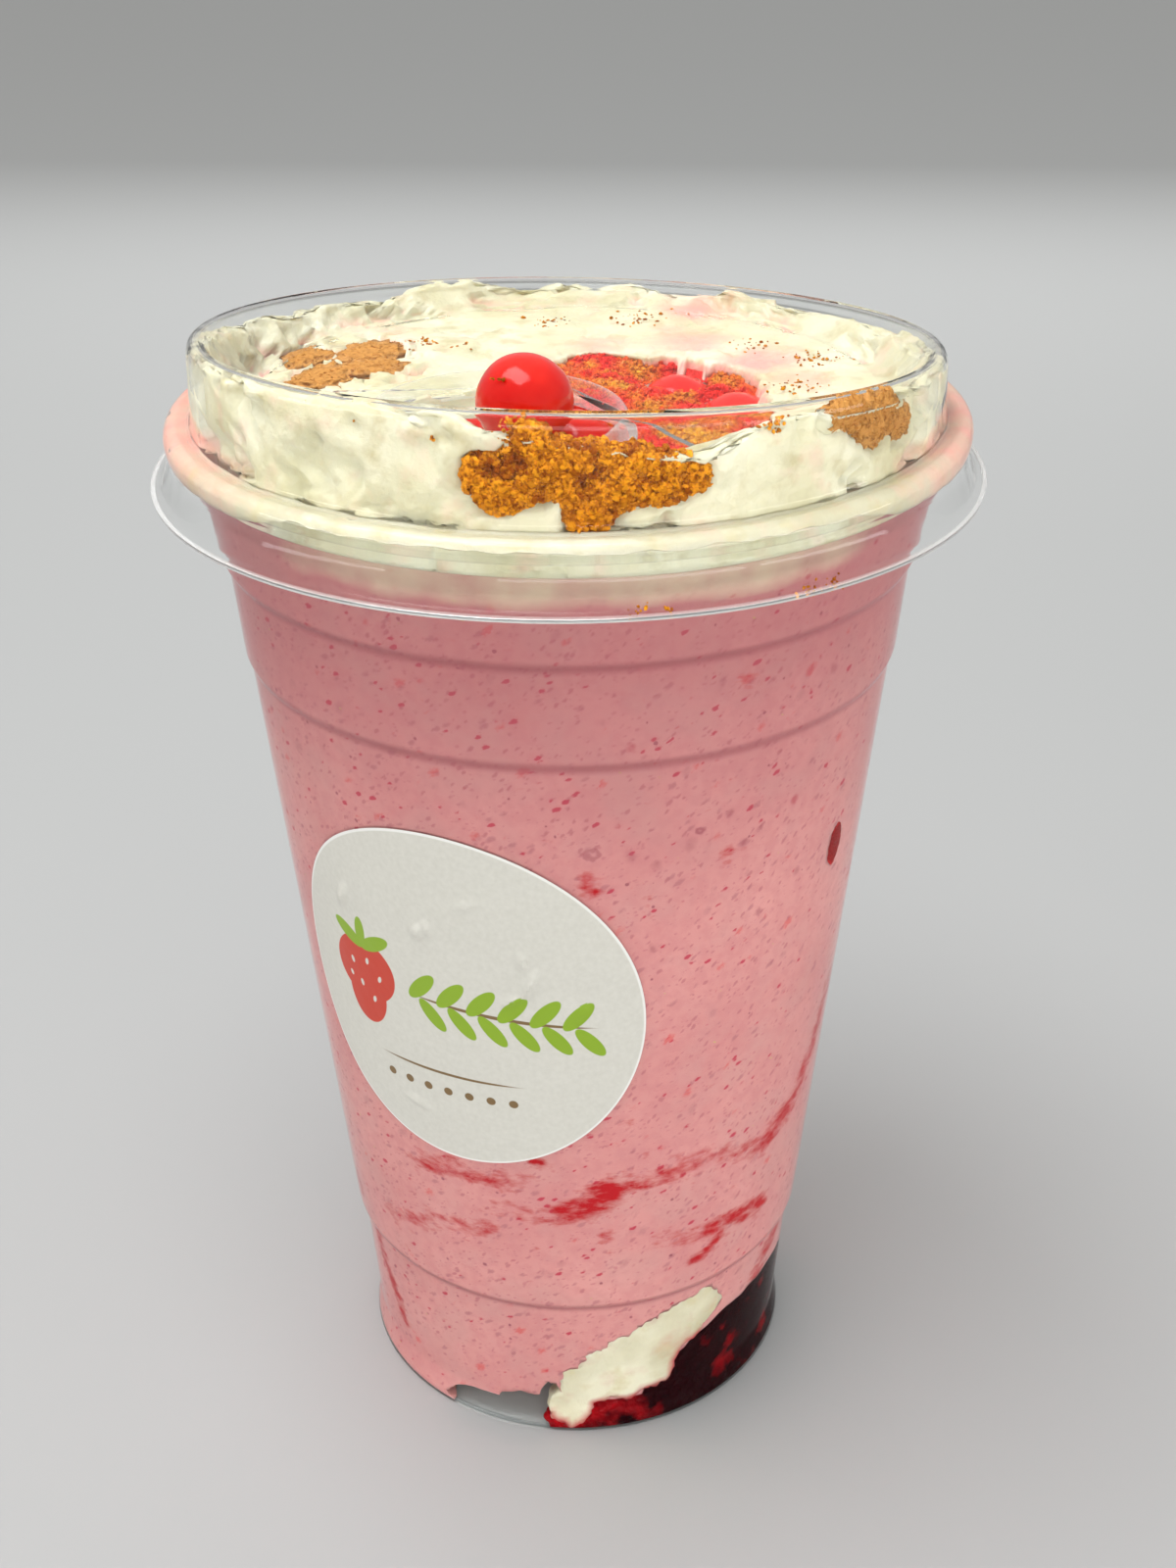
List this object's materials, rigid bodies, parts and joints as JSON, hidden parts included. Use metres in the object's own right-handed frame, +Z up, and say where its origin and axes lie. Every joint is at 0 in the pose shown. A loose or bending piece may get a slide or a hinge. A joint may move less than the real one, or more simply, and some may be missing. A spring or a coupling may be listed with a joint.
{
  "type": "strawberry smoothie",
  "caption": "Pink berry smoothie in a clear tapered plastic cup, topped with whipped cream, biscuit crumbs and red jelly pearls under a clear sip lid, with a round paper label.",
  "frame": {"origin": "centre of the foot ring, in the plane that the cup stands on", "axes": "+Z up along the cup's axis; -Y is the front, with the drinking side of the lid; the label is left of the front; +X is to the right seen from the front"},
  "size_m": [0.104, 0.104, 0.1557],
  "materials": {
    "clear_cup": "clear thermoformed plastic, glossy, lightly scuffed",
    "clear_lid": "clear thermoformed plastic, glossy, with moulded rings",
    "smoothie": "opaque pink blended drink with fine fruit specks, wet against the cup",
    "cream": "soft whipped cream, pale ivory, satin",
    "jam": "dark red berry jam, wet and glossy",
    "berry": "dark red piece of berry, wet",
    "crumb": "golden brown biscuit crumbs, dry and granular",
    "pearl": "bright red jelly pearls, glossy and slightly translucent",
    "label": "white label paper with a soft sheen and small creases"
  },
  "bodies": {
    "root": {"cup": "clear_cup", "lid": "clear_lid", "smoothie": "smoothie", "cream_top": "cream", "cream_base": "cream", "berry_jam": "jam", "berry_piece": "berry", "crumb_bed": "crumb", "crumb_heap": "crumb", "crumb_patch_left": "crumb", "crumb_patch_right": "crumb", "label": "label", "pearl_01": "pearl", "pearl_02": "pearl", "pearl_03": "pearl", "pearl_04": "pearl", "pearl_05": "pearl", "pearl_06": "pearl", "pearl_07": "pearl", "pearl_08": "pearl", "pearl_09": "pearl", "pearl_10": "pearl"}
  },
  "joints": []
}
